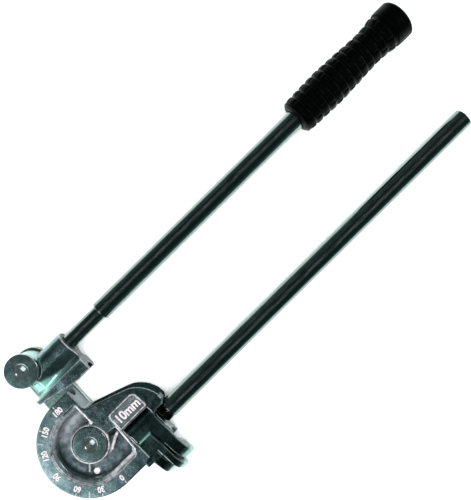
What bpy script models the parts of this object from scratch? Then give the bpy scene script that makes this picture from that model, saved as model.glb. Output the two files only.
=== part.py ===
"""Lever tube bender, lying flat with its dial up.

Frame: the origin is on the main pivot axis at the back of the tool, +X runs along the fixed
handle, +Y towards the moving handle, +Z out of the dial. Lengths below are in millimetres.
"""
import math

import bmesh
import bpy
from mathutils import Matrix, Vector

MM = 0.001
GAP = 0.3                      # running and seating gap between touching pieces

# heights
LINK_T = 5.0                   # rear link, from the resting plane
WASHER_Z = (5.3, 6.3)
FORMER_Z = (6.6, 24.6)
SHOE_Z = (7.6, 23.6)
TUBE_Z = 15.6                  # middle of the tube groove
POCKET_Z = 20.6                # floor of the pocket under the hook

# forming die
BEND_R = 36.0                  # centreline radius of the bent tube, and flange radius
GROOVE_R = 5.0                 # for a 10 mm tube
BOSS_R, BOSS_TOP = 13.2, 24.0
SEAT_R, SEAT_Z = 12.1, 20.4    # seat of the centre pin's head in the boss
PIVOT_BORE_R = 8.3
PIN_R = 6.0
HEAD_R = 11.6

# rear link and outer pin
OUTER_X, OUTER_Y = 2.9, 66.6
LINK_R = 13.0

# fixed handle
FIX_Y, FIX_Z = -20.6, 14.4
TUBE_R, TUBE_WALL = 7.0, 1.5
FIX_X = (52.3, 335.0)
STUD_R = 4.0

# moving handle
MOVE_Y = 59.2
ROD_R = 5.5
SLEEVE_X = 65.6
GRIP_X = (252.4, 351.0)

# hook
HINGE_Y, HINGE_Z = -13.0, 20.6
HOOK_X = (22.9, 44.4)

for old in list(bpy.data.objects):
    bpy.data.objects.remove(old, do_unlink=True)


def material(name, rgb, rough, metal):
    mat = bpy.data.materials.new(name)
    mat.use_nodes = True
    shader = mat.node_tree.nodes["Principled BSDF"]
    shader.inputs["Base Color"].default_value = (*rgb, 1.0)
    shader.inputs["Roughness"].default_value = rough
    shader.inputs["Metallic"].default_value = metal
    mat.diffuse_color = (*rgb, 1.0)
    return mat


CAST = material("cast_alloy", (0.42, 0.45, 0.46), 0.42, 0.9)
HOOK = material("hook_cast", (0.09, 0.10, 0.10), 0.45, 0.8)
CHROME = material("chrome_tube", (0.72, 0.74, 0.75), 0.12, 1.0)
STEEL = material("pin_steel", (0.50, 0.51, 0.52), 0.35, 1.0)
DARK = material("dark_steel", (0.11, 0.10, 0.095), 0.4, 0.9)
LINK = material("link_steel", (0.33, 0.34, 0.35), 0.4, 1.0)
BRONZE = material("bronze_bush", (0.52, 0.36, 0.16), 0.4, 1.0)
RUBBER = material("grip_rubber", (0.022, 0.022, 0.024), 0.75, 0.0)
PLASTIC = material("plug_plastic", (0.03, 0.03, 0.032), 0.5, 0.0)


def place(name, bm, mat=None, pivot=(0, 0, 0), parent=None, smooth=True):
    """Turn a bmesh in millimetres into an object whose origin is its pivot."""
    bmesh.ops.recalc_face_normals(bm, faces=bm.faces)
    bmesh.ops.translate(bm, verts=bm.verts, vec=-Vector(pivot))
    bmesh.ops.scale(bm, verts=bm.verts, vec=(MM, MM, MM))
    mesh = bpy.data.meshes.new(name)
    bm.to_mesh(mesh)
    bm.free()
    if smooth:
        mesh.shade_smooth()
        mesh.set_sharp_from_angle(angle=math.radians(32))
    obj = bpy.data.objects.new(name, mesh)
    bpy.context.scene.collection.objects.link(obj)
    if mat:
        mesh.materials.append(mat)
    obj.location = Vector(pivot) * MM
    if parent:
        obj.parent = parent
        obj.location -= parent_world(parent)
    return obj


def parent_world(obj):
    where = obj.location.copy()
    while obj.parent:
        obj = obj.parent
        where += obj.location
    return where


def empty(name, at, parent=None):
    obj = bpy.data.objects.new(name, None)
    bpy.context.scene.collection.objects.link(obj)
    obj.location = Vector(at) * MM
    if parent:
        obj.parent = parent
        obj.location -= parent_world(parent)
    return obj


def loft(sections):
    """A closed solid through rings of 3-D points, each ring with the same number of points."""
    bm = bmesh.new()
    rings = [[bm.verts.new(p) for p in ring] for ring in sections]
    n = len(rings[0])
    for low, high in zip(rings, rings[1:]):
        for i in range(n):
            bm.faces.new((low[i], low[(i + 1) % n], high[(i + 1) % n], high[i]))
    bm.faces.new(list(reversed(rings[0])))
    bm.faces.new(rings[-1])
    bmesh.ops.recalc_face_normals(bm, faces=bm.faces)
    return bm


def at_z(outline, z):
    return [(x, y, z) for x, y in outline]


def prism(outline, z0, z1, ease=0.0):
    """A flat plate with an optional eased rim on both faces."""
    if ease <= 0:
        return loft([at_z(outline, z0), at_z(outline, z1)])
    small = inset(outline, ease)
    return loft([at_z(small, z0), at_z(outline, z0 + ease),
                 at_z(outline, z1 - ease), at_z(small, z1)])


def inset(outline, d):
    """Shrink a counter-clockwise outline by d."""
    out, n = [], len(outline)
    for i in range(n):
        a, b, c = (Vector(outline[(i + k) % n]) for k in (-1, 0, 1))
        u, v = (b - a).normalized(), (c - b).normalized()
        nu, nv = Vector((-u.y, u.x)), Vector((-v.y, v.x))
        m = nu + nv
        m /= max(m.dot(nu), 0.35)
        out.append(tuple(b + m * d))
    return out


def arc(cx, cy, r, a0, a1, n):
    return [(cx + r * math.cos(math.radians(a0 + (a1 - a0) * i / n)),
             cy + r * math.sin(math.radians(a0 + (a1 - a0) * i / n))) for i in range(n + 1)]


def turned(profile, at, axis, n=32):
    """A solid of revolution; the profile is a closed loop of (radius, height) pairs."""
    bm = bmesh.new()
    turn = Vector((0, 0, 1)).rotation_difference(Vector(axis)).to_matrix().to_4x4()
    move = Matrix.Translation(Vector(at)) @ turn
    rings = []
    for r, h in profile:
        if r < 1e-6:
            rings.append([bm.verts.new(move @ Vector((0, 0, h)))])
        else:
            rings.append([bm.verts.new(move @ Vector((r * math.cos(2 * math.pi * i / n),
                                                      r * math.sin(2 * math.pi * i / n), h)))
                          for i in range(n)])
    for a, b in zip(rings, rings[1:] + rings[:1]):
        if len(a) == 1 and len(b) == 1:
            continue
        for i in range(n):
            j = (i + 1) % n
            if len(a) == 1:
                bm.faces.new((a[0], b[i], b[j]))
            elif len(b) == 1:
                bm.faces.new((a[i], a[j], b[0]))
            else:
                bm.faces.new((a[i], a[j], b[j], b[i]))
    bmesh.ops.recalc_face_normals(bm, faces=bm.faces)
    return bm


def shaft(r, h0, h1, ease=0.4, bore=0.0):
    """Closed profile of a round bar or, with a bore, of a ring."""
    out = [(r - ease, h0), (r, h0 + ease), (r, h1 - ease), (r - ease, h1)]
    return [(bore, h0)] + out + [(bore, h1)]


def swept_groove(path, r, n=20):
    """A round bar along a path that lies in one level plane."""
    sections = []
    for i, p in enumerate(path):
        a = Vector(path[max(i - 1, 0)])
        b = Vector(path[min(i + 1, len(path) - 1)])
        d = (b - a).normalized()
        side = Vector((-d.y, d.x, 0))
        sections.append([Vector((p[0], p[1], TUBE_Z)) + side * r * math.cos(2 * math.pi * k / n)
                         + Vector((0, 0, r * math.sin(2 * math.pi * k / n))) for k in range(n)])
    return loft(sections)


def cut(target, bm, name, how="DIFFERENCE"):
    tool = place(name, bm, smooth=False)
    tool.hide_render = True
    tool.display_type = "WIRE"
    mod = target.modifiers.new(name, "BOOLEAN")
    mod.operation = how
    mod.solver = "EXACT"
    mod.object = tool
    return tool


def rounded(target, width, segments=2, angle=38):
    mod = target.modifiers.new("ease", "BEVEL")
    mod.width = width * MM
    mod.segments = segments
    mod.limit_method = "ANGLE"
    mod.angle_limit = math.radians(angle)
    mod.use_clamp_overlap = True
    mod.harden_normals = False


# ---------------------------------------------------------------- body empties
FORMER = empty("former_axis", (0, 0, 0))
YOKE = empty("yoke_axis", (0, 0, 0), FORMER)
SHOE = empty("shoe_axis", (OUTER_X, OUTER_Y, 0), YOKE)
HOOK_AXIS = empty("hook_axis", (HOOK_X[0], HINGE_Y, HINGE_Z), FORMER)

# ---------------------------------------------------------------- forming die and arm
LEG_X, LOWER_X = 13.7, 44.9
outline = arc(0, 0, BEND_R, 90, 270, 40)
outline += [(12, -BEND_R), (LOWER_X, -BEND_R), (LOWER_X, -16.2), (46.2, -14.4), (51.4, -14.4),
            (51.8, -13.0),
            (55.3, -12.6), (55.2, -9.5), (54.6, -5.2), (52.7, -0.4), (49.2, 4.6), (44.2, 8.3),
            (37.0, 11.2), (29.5, 13.8), (22.0, 16.3), (LEG_X, 18.4), (LEG_X, BEND_R)]
former = place("former_casting", prism(outline, *FORMER_Z, ease=0.7), CAST, parent=FORMER)


def recess(r, right, web):
    out = arc(0, 0, r, 90, 270, 36)
    out += [(right - 3.0, -r), (right, -r + 3.0), (right + 1.4, -3.6 - web), (14.4, -2.6 - web)]
    out += arc(0, 0, BOSS_R - 0.4, -8, 42, 8)
    out += [(10.4 - web, 11.5), (10.4 - web, r)]
    return out


outer, inner = recess(26.6, 18.8, 0.0), recess(22.0, 17.2, 0.8)
cut(former, loft([at_z(inner, 12.2), at_z(inner, 20.4), at_z(outer, 23.0), at_z(outer, 30)]),
    "cut_recess")
cut(former, turned(shaft(BOSS_R, 9.0, BOSS_TOP, 0.8), (0, 0, 0), (0, 0, 1), 48), "add_boss",
    "UNION")
gusset = [(-2.0, -12.2), (3.3, -13.9), (8.0, -13.3), (11.6, -11.2), (14.4, -9.4), (17.4, -8.2),
          (20.6, -7.6), (20.6, -4.9), (16.8, -5.6), (14.3, -5.4), (11.0, -3.0), (6.0, -4.0)]
cut(former, prism(gusset, 9.4, 20.0, 0.8), "add_gusset", "UNION")
cut(former, turned(shaft(SEAT_R, SEAT_Z, 40, 0.01), (0, 0, 0), (0, 0, 1), 48), "cut_seat")
cut(former, turned(shaft(PIVOT_BORE_R, 0, 40, 0.01), (0, 0, 0), (0, 0, 1), 48), "cut_bore")
turn = arc(0, 0, BEND_R, -87.6, -272.4, 39)
groove = [(60, -BEND_R), (22, -BEND_R), (3, -BEND_R)] + turn + [(3, BEND_R), (30, BEND_R)]
cut(former, swept_groove(groove, GROOVE_R), "cut_groove")
hollow = arc(HINGE_Y, HINGE_Z, 4.1, 180, 360, 16)
hollow = [(-50, POCKET_Z), *hollow, (-8.7, POCKET_Z + 0.4), (-8.7, 40), (-50, 40)]
cut(former, loft([[(x, y, z) for y, z in hollow] for x in (22.6, 44.6)]), "cut_pocket")
cut(former, prism([(44.2, -50), (50, -50), (50, -16.4), (44.2, -16.4)], POCKET_Z - 0.2, 40),
    "cut_pocket_end")
cut(former, turned(shaft(2.3, 20.6, 53.4, 0.01), (0, HINGE_Y, HINGE_Z), (1, 0, 0), 24),
    "cut_hinge")
cut(former, turned(shaft(STUD_R + GAP, 31.7, 60, 0.01), (0, FIX_Y, FIX_Z), (1, 0, 0), 28),
    "cut_stud")
pad = [(22.6, -7.3), (43.4, -7.3), (43.4, 4.6), (24.8, 4.6), (22.6, 2.6)]
cut(former, prism(pad, 24.1, 30), "cut_pad")

# ---------------------------------------------------------------- pivot bush and centre pin
place("pivot_bush", turned(shaft(8.0, 6.8, 20.3, 0.3, 6.3), (0, 0, 0), (0, 0, 1)), BRONZE,
      parent=FORMER)
place("centre_thrust_washer", turned(shaft(11.0, *WASHER_Z, 0.2, 6.3), (0, 0, 0), (0, 0, 1)),
      BRONZE, parent=YOKE)


def headed_pin(x, y, name, head_z, top_z, parent, pivot):
    prof = [(0, 0), (4.6, 0), (5.0, 0.4), (5.0, LINK_T + 0.1), (PIN_R, LINK_T + 0.2),
            (PIN_R, head_z), (HEAD_R - 0.5, head_z), (HEAD_R, head_z + 0.5), (HEAD_R, top_z - 0.7),
            (HEAD_R - 0.7, top_z), (5.0, top_z), (3.9, top_z - 1.1), (0, top_z - 3.0)]
    return place(name, turned(prof, (x, y, 0), (0, 0, 1), 40), STEEL, pivot, parent)


headed_pin(0, 0, "centre_pin", 21.6, 24.7, YOKE, (0, 0, 0))
place("centre_head_washer", turned(shaft(11.2, 20.7, 21.3, 0.1, 6.3), (0, 0, 0), (0, 0, 1)),
      STEEL, parent=YOKE)

# ---------------------------------------------------------------- rear link
link_outline = arc(0, 0, LINK_R, 183, 357, 20) + arc(OUTER_X, OUTER_Y, LINK_R - 0.6, -3, 177, 20)
link = place("rear_link", prism(link_outline, 0.0, LINK_T, 0.6), LINK, parent=YOKE)
for i, (x, y) in enumerate(((0, 0), (OUTER_X, OUTER_Y))):
    cut(link, turned(shaft(5.3, -5, 10, 0.01), (x, y, 0), (0, 0, 1), 36), f"cut_link_{i}")

# ---------------------------------------------------------------- outer pin and its washers
OUT = (OUTER_X, OUTER_Y, 0)
headed_pin(OUTER_X, OUTER_Y, "outer_pin", 25.0, 28.4, YOKE, OUT)
place("outer_thrust_washer", turned(shaft(10.6, WASHER_Z[0], 7.3, 0.2, 6.3), OUT, (0, 0, 1)),
      BRONZE, OUT, YOKE)
place("outer_head_washer", turned(shaft(11.0, 23.9, 24.7, 0.1, 6.3), OUT, (0, 0, 1)), STEEL,
      OUT, YOKE)

# ---------------------------------------------------------------- forming shoe
SHOE_END = 35.6
flange = [(-6.0, 42.3), (20.5, 36.4), (SHOE_END, 36.4), (SHOE_END, 45.4), (-6.6, 45.4)]
shoe = place("shoe_casting", prism(flange, *SHOE_Z, ease=0.5), CAST, OUT, SHOE)
neck = [(-6.4, 44.0), (SHOE_END, 44.0), (SHOE_END - 0.1, 58.0), (20, 62), (-5.2, 62)]
cut(shoe, prism(neck, SHOE_Z[0] + 2.6, SHOE_Z[1] - 2.6, 0.5), "add_neck", "UNION")
side = [(44.2, SHOE_Z[1] - 0.5), (45.4, SHOE_Z[1] - 0.5), (46.4, 22.0), (48.5, 21.1),
        (51.2, 22.0), (53.0, 23.6), (56.0, 23.6), (56, 18), (44.2, 18)]
fill = loft([[(x, y, z) for y, z in side] for x in (-5.4, 33.0)])
cut(shoe, fill, "add_front_fillet", "UNION")
fill = loft([[(x, y, 2 * TUBE_Z - z) for y, z in side] for x in (-5.4, 33.0)])
cut(shoe, fill, "add_back_fillet", "UNION")
cut(shoe, turned(shaft(9.0, 6.0, SHOE_END, 0.7), (0, MOVE_Y, TUBE_Z), (1, 0, 0), 48),
    "add_socket", "UNION")
cut(shoe, turned(shaft(10.8, SHOE_Z[0], SHOE_Z[1], 0.6), OUT, (0, 0, 1), 48), "add_eye", "UNION")
cut(shoe, turned(shaft(12.4, 23.6, 40, 0.01), OUT, (0, 0, 1), 48), "cut_eye_front")
cut(shoe, turned(shaft(12.4, -5, SHOE_Z[0], 0.01), OUT, (0, 0, 1), 48), "cut_eye_back")
cut(shoe, turned(shaft(PIVOT_BORE_R, -5, 40, 0.01), OUT, (0, 0, 1), 48), "cut_eye_bore")
cut(shoe, turned(shaft(GROOVE_R, -40, 60, 0.01), (0, BEND_R, TUBE_Z), (1, 0, 0), 40),
    "cut_shoe_groove")
cut(shoe, turned(shaft(ROD_R + GAP, 14.4, 60, 0.01), (0, MOVE_Y, TUBE_Z), (1, 0, 0), 36),
    "cut_socket")
cut(shoe, turned(shaft(1.8, 40, 80, 0.01), (25.0, 0, TUBE_Z), (0, 1, 0), 20), "cut_roll_pin")
place("shoe_eye_bush", turned(shaft(8.0, 7.8, 23.4, 0.3, 6.3), OUT, (0, 0, 1)), BRONZE,
      OUT, SHOE)

# ---------------------------------------------------------------- moving handle
rod = place("moving_handle_rod", turned(shaft(ROD_R, 14.7, 112.0, 0.6), (0, MOVE_Y, TUBE_Z),
                                        (1, 0, 0), 36), CHROME, OUT, SHOE)
cut(rod, turned(shaft(1.8, 40, 80, 0.01), (25.0, 0, TUBE_Z), (0, 1, 0), 20), "cut_rod_pin")
place("socket_roll_pin", turned(shaft(1.5, 50.6, 67.4, 0.3), (25.0, 0, TUBE_Z), (0, 1, 0), 20),
      DARK, OUT, SHOE)
place("moving_handle_sleeve", turned(shaft(TUBE_R, SLEEVE_X, 346.0, 0.3, ROD_R + GAP),
                                     (0, MOVE_Y, TUBE_Z), (1, 0, 0)), CHROME, OUT, SHOE)


def grip_radius(x):
    """Palm-shaped body radius of the grip at distance x along the handle."""
    knots = [(252.4, 12.6), (262, 13.2), (283, 13.7), (300, 13.0), (312, 12.2), (320, 11.9),
             (328, 12.3), (336, 13.6), (342, 14.0), (351, 14.0)]
    for (x0, r0), (x1, r1) in zip(knots, knots[1:]):
        if x <= x1:
            t = (x - x0) / (x1 - x0)
            t = t * t * (3 - 2 * t)
            return r0 + (r1 - r0) * t
    return knots[-1][1]


prof = [(TUBE_R + GAP, GRIP_X[0]), (11.4, GRIP_X[0]), (12.4, GRIP_X[0] + 1.0)]
x, pitch = 255.0, 6.25
while x < 334.0:
    r = grip_radius(x + pitch / 2)
    prof += [(r - 1.3, x), (r, x + 1.3), (r, x + 4.4)]
    x += pitch
prof += [(13.0, 338.0), (13.9, 340.0), (14.0, 349.0), (13.0, GRIP_X[1]), (0, GRIP_X[1]),
         (0, 347.6), (TUBE_R + GAP, 347.6)]
place("rubber_grip", turned(prof, (0, MOVE_Y, TUBE_Z), (1, 0, 0), 30), RUBBER, OUT, SHOE)

# ---------------------------------------------------------------- fixed handle
place("fixed_handle_tube", turned(shaft(TUBE_R, *FIX_X, 0.3, TUBE_R - TUBE_WALL),
                                  (0, FIX_Y, FIX_Z), (1, 0, 0)), CHROME, parent=FORMER)
place("fixed_handle_stud", turned(shaft(STUD_R, 32.0, 70.0, 0.5), (0, FIX_Y, FIX_Z),
                                  (1, 0, 0), 28), DARK, parent=FORMER)
place("fixed_handle_plug", turned(shaft(5.2, 52.6, 71.0, 0.3, STUD_R + GAP), (0, FIX_Y, FIX_Z),
                                  (1, 0, 0), 32), DARK, parent=FORMER)
hexagon = [(FIX_Y + 6.9 * math.cos(math.radians(60 * k + 30)),
            FIX_Z + 6.9 * math.sin(math.radians(60 * k + 30))) for k in range(6)]
nut = place("fixed_handle_lock_nut", loft([[(x, y, z) for y, z in hexagon]
                                           for x in (46.5, 51.7)]), DARK, parent=FORMER)
cut(nut, turned(shaft(STUD_R + GAP, 40, 60, 0.01), (0, FIX_Y, FIX_Z), (1, 0, 0), 28), "cut_nut")
place("handle_end_plug", turned(shaft(5.2, 322.0, 333.2, 0.4), (0, FIX_Y, FIX_Z), (1, 0, 0), 32),
      PLASTIC, parent=FORMER)

# ---------------------------------------------------------------- tube hook
HX0, HX1 = HOOK_X
plate = [(-13.0, 21.0), (-35.0, 21.0), (-35.0, 24.3), (-13.0, 24.3)]
hook = place("tube_hook", loft([[(x, y, z) for y, z in plate] for x in (HX0, HX1)]), HOOK,
             (HX0, HINGE_Y, HINGE_Z), HOOK_AXIS)
cut(hook, turned(shaft(3.75, HX0, HX1, 0.3), (0, HINGE_Y, HINGE_Z), (1, 0, 0), 32),
    "add_barrel", "UNION")
block = [(-22.0, 23.0), (-38.2, 23.0), (-38.2, 26.8), (-22.4, 26.8)]
cut(hook, loft([[(x, y, z) for y, z in block] for x in (HX0 + 0.02, 34.8)]), "add_block", "UNION")
for i, (x0, x1, reach, rise) in enumerate(((HX0, 29.7, 0.0, 2.5), (30.6, 35.5, 4.2, 2.3),
                                           (36.5, HX1, 0.0, 0.0))):
    claw = [(-32.0, 24.2 + rise), (-38.7, 24.1 + rise), (-45.0 - reach, 22.4 + rise),
            (-50.2 - reach, 18.2 + rise / 2), (-53.3 - reach, 12.6), (-52.6 - reach, 9.8),
            (-48.6 - reach, 9.6), (-44.4 - reach / 2, 12.4), (-41.9, 15.6), (-41.3, 18.0),
            (-39.6, 20.0), (-37.2, 21.1), (-32.0, 21.1)]
    cut(hook, loft([[(x, y, z) for y, z in claw] for x in (x0, x1)]), f"add_claw_{i}", "UNION")
web = [(-34.0, 21.2), (-37.2, 21.2), (-41.4, 18.2), (-44.6, 21.0), (-42.0, 23.0), (-34.0, 23.8)]
cut(hook, loft([[(x, y, z) for y, z in web] for x in (HX0 + 0.4, HX1 - 0.4)]), "add_web", "UNION")
cut(hook, turned(shaft(2.0, 18.7, HX0 + 2, 0.4), (0, -36.3, 27.0), (1, 0, 0), 24), "add_nub",
    "UNION")
cut(hook, turned(shaft(2.3, 0, 80, 0.01), (0, HINGE_Y, HINGE_Z), (1, 0, 0), 24), "cut_hook_bore")
place("hook_hinge_pin", turned(shaft(2.0, 20.9, 53.1, 0.3), (0, HINGE_Y, HINGE_Z), (1, 0, 0), 24),
      STEEL, parent=FORMER)
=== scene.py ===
"""Looks of the lever tube bender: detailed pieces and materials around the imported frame."""
import math

import bmesh
import bpy
import numpy as np
from mathutils import Matrix, Vector


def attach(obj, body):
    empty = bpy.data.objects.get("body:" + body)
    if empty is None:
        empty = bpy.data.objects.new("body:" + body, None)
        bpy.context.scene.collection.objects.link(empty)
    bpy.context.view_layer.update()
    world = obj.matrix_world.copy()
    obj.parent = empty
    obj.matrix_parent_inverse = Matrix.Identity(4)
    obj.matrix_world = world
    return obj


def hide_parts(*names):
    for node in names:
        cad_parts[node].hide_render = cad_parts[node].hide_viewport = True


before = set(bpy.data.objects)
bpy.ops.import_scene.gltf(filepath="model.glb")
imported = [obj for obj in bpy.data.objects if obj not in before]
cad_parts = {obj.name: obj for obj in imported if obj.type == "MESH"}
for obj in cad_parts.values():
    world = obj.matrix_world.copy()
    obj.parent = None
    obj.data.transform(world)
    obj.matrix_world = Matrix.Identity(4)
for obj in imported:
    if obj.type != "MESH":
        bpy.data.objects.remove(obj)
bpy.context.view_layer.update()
MM = 0.001

# ------------------------------------------------------------------ sizes (millimetres)
BEND_R, GROOVE_R, TUBE_Z = 36.0, 5.0, 15.6     # bend radius, radius and height of the tube groove
CAST_HALF, FACE_Z, FLOOR_Z = 9.0, 24.6, 12.2   # half thickness, dial face and recess floor
ROOT_Z = 8.0                                   # what stands on the floor is solid down to here
LEDGE_R, LEDGE_Z, WELL_R = 26.6, 22.7, 23.4    # stepped wall of the recess
BOSS_R, BOSS_TOP, SEAT_R, SEAT_Z = 13.2, 24.0, 12.1, 20.4
BORE_R, PIN_R, HEAD_R, DISH_R = 8.3, 6.0, 11.6, 4.9
GAP = 0.3                                      # clearance between fitted pieces
FIX_Y, FIX_Z, STUD_R = -20.6, 14.4, 4.0        # fixed handle's axis and its stud
MOVE_Y, TUBE_R, ROD_R = 59.2, 7.0, 5.5         # moving handle's axis, sleeve and rod
HINGE_Y, HINGE_Z, HINGE_R = -13.0, 20.6, 2.0   # hinge pin of the hook, along X
HOOK_X = (22.9, 44.4)                          # both sides of the hook
HOOK_MID, HOOK_HALF = (HOOK_X[0] + HOOK_X[1]) / 2, (HOOK_X[1] - HOOK_X[0]) / 2
BAY_MID, BAY_HALF = 33.6, 11.0                 # the arm's pocket, a little wider than the hook
OUTER = (2.9, 66.6)                            # where the shoe turns on the link
SHOE_END, SHOE_HALF, SOCKET_R = 35.6, 8.0, 9.0
LINK_Z, LINK_HALF = 2.5, 2.49                  # middle and half thickness of the rear link
NUT_X = 49.1
SCALE_R, LABEL_SIZE, SIZE_MARK_SIZE = 30.4, 5.6, 8.8


# ------------------------------------------------------------------ solid shapes as distances
def smin(a, b, k):
    """Union of two distances, with a fillet of about k."""
    h = np.maximum(k - np.abs(a - b), 0.0) / k
    return np.minimum(a, b) - h * h * k * 0.25


def smax(a, b, k):
    """Intersection of two distances, with its edge rounded by about k."""
    return -smin(-a, -b, k)


def polygon(points):
    """Signed distance to a closed 2-D outline, negative inside."""
    pts = np.array(points, dtype=np.float32)

    def dist(x, y):
        x, y = np.broadcast_arrays(np.asarray(x, np.float32), np.asarray(y, np.float32))
        best = np.full(x.shape, 1e9, np.float32)
        inside = np.zeros(x.shape, bool)
        for (ax, ay), (bx, by) in zip(pts, np.roll(pts, -1, axis=0)):
            ex, ey = bx - ax, by - ay
            px, py = x - ax, y - ay
            t = np.clip((px * ex + py * ey) / max(ex * ex + ey * ey, 1e-9), 0, 1)
            best = np.minimum(best, (px - t * ex) ** 2 + (py - t * ey) ** 2)
            crosses = ((ay > y) != (by > y))
            if abs(ey) > 1e-9:
                inside ^= crosses & (x < ax + (y - ay) * ex / ey)
        return np.where(inside, -1, 1) * np.sqrt(best)

    return dist


def soften(points, rounds=3, keep=0.25):
    """Cut the corners of a closed outline a few times over."""
    pts = [Vector(p) for p in points]
    for _ in range(rounds):
        out = []
        for a, b in zip(pts, pts[1:] + pts[:1]):
            out += [a.lerp(b, keep), a.lerp(b, 1 - keep)]
        pts = out
    return [tuple(p) for p in pts]


def arc(cx, cy, r, a0, a1, n):
    return [(cx + r * math.cos(math.radians(a0 + (a1 - a0) * i / n)),
             cy + r * math.sin(math.radians(a0 + (a1 - a0) * i / n))) for i in range(n + 1)]


EDGES = [((0, 0, 0), (1, 0, 0)), ((0, 1, 0), (1, 1, 0)), ((0, 0, 1), (1, 0, 1)),
         ((0, 1, 1), (1, 1, 1)), ((0, 0, 0), (0, 1, 0)), ((1, 0, 0), (1, 1, 0)),
         ((0, 0, 1), (0, 1, 1)), ((1, 0, 1), (1, 1, 1)), ((0, 0, 0), (0, 0, 1)),
         ((1, 0, 0), (1, 0, 1)), ((0, 1, 0), (0, 1, 1)), ((1, 1, 0), (1, 1, 1))]


def skin(name, f, low, high, h, weight=None, masks=None):
    """Mesh the zero surface of a distance function f(x, y, z), all in millimetres.

    weight(points, wear) adjusts the wear, adding painted highlights for some pieces; masks are more
    per-point layers for the material.
    """
    low, high = np.array(low, float), np.array(high, float)
    axes = [np.arange(low[i], high[i] + h, h) for i in range(3)]
    v = f(axes[0][:, None, None], axes[1][None, :, None], axes[2][None, None, :])
    v = np.asarray(v, np.float32)
    s = v < 0
    count = sum(s[i:s.shape[0] - 1 + i, j:s.shape[1] - 1 + j, k:s.shape[2] - 1 + k].astype(np.int8)
                for i in (0, 1) for j in (0, 1) for k in (0, 1))
    mixed = (count > 0) & (count < 8)
    index = np.full(mixed.shape, -1, np.int64)
    cell = np.argwhere(mixed)
    index[mixed] = np.arange(len(cell))
    total, n = np.zeros((len(cell), 3)), np.zeros(len(cell))
    for a, b in EDGES:
        a, b = np.array(a), np.array(b)
        va, vb = v[tuple((cell + a).T)], v[tuple((cell + b).T)]
        hit = (va < 0) != (vb < 0)
        t = (va[hit] / (va[hit] - vb[hit]))[:, None]
        total[hit] += a + t * (b - a)
        n[hit] += 1
    p = low + (cell + total / n[:, None]) * h
    for _ in range(3):
        d, g = slope(f, p)
        step = (d / np.maximum((g * g).sum(1), 0.25))[:, None] * g
        p -= np.clip(step, -0.35 * h, 0.35 * h)
    quads = []
    for axis in range(3):
        s3, i3 = np.moveaxis(s, axis, 0), np.moveaxis(index, axis, 0)
        change = s3[:-1, 1:-1, 1:-1] != s3[1:, 1:-1, 1:-1]
        i, j, k = np.nonzero(change)
        j, k = j + 1, k + 1
        q = np.stack([i3[i, j - 1, k - 1], i3[i, j, k - 1], i3[i, j, k], i3[i, j - 1, k]], 1)
        flip = ~s3[i, j, k]
        if axis == 1:
            flip = ~flip
        q[flip] = q[flip][:, ::-1]
        quads.append(q)
    quads = np.concatenate(quads)
    _, g = slope(f, p)
    normals = g / np.maximum(np.linalg.norm(g, axis=1), 1e-6)[:, None]
    mesh = bpy.data.meshes.new(name)
    mesh.from_pydata((p * MM).tolist(), [], quads.tolist())
    mesh.shade_smooth()
    mesh.normals_split_custom_set_from_vertices(normals.tolist())
    wear = field_wear(f, p)
    store(mesh, "wear", weight(p, wear) if weight else 0.6 * wear)
    for layer, mask in (masks or {}).items():
        store(mesh, layer, mask(p))
    return link(name, mesh)


def store(mesh, name, values):
    layer = mesh.attributes.new(name, "FLOAT", "POINT")
    layer.data.foreach_set("value", np.clip(np.asarray(values, np.float32), 0, 1))


def field_wear(f, p, e=0.5):
    """How worn each point is: 1 on outside corners, 0 on flats and in hollows."""
    total = -6.0 * f(p[:, 0], p[:, 1], p[:, 2])
    for step in np.concatenate([np.eye(3), -np.eye(3)]) * e:
        q = p + step
        total = total + f(q[:, 0], q[:, 1], q[:, 2])
    return np.clip((total / e ** 2 - 0.40) / 0.70, 0, 1)


def corner_wear(bm):
    out = []
    for vert in bm.verts:
        sharpest = max((e.calc_face_angle_signed(0.0) for e in vert.link_edges), default=0.0)
        out.append(min(max((math.degrees(sharpest) - 6.0) / 14.0, 0.0), 1.0))
    return out


def slope(f, p, e=0.04):
    x, y, z = p[:, 0], p[:, 1], p[:, 2]
    g = np.stack([f(x + e, y, z) - f(x - e, y, z), f(x, y + e, z) - f(x, y - e, z),
                  f(x, y, z + e) - f(x, y, z - e)], 1) / (2 * e)
    return f(x, y, z), g


def link(name, data):
    obj = bpy.data.objects.new(name, data)
    bpy.context.scene.collection.objects.link(obj)
    return obj


def held(profile, near=0.05):
    """Extra points close to the ends of long straight stretches, which keep them flat."""
    out = []
    for a, b in zip(profile, profile[1:] + profile[:1]):
        out.append(a)
        length = math.dist(a, b)
        if length > 1.2 and max(a[0], b[0]) > 0.1:
            for t in (near / length, 1 - near / length):
                point = (a[0] + (b[0] - a[0]) * t, a[1] + (b[1] - a[1]) * t)
                if point[0] > 1e-3:
                    out.append(point)
    return out


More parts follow.
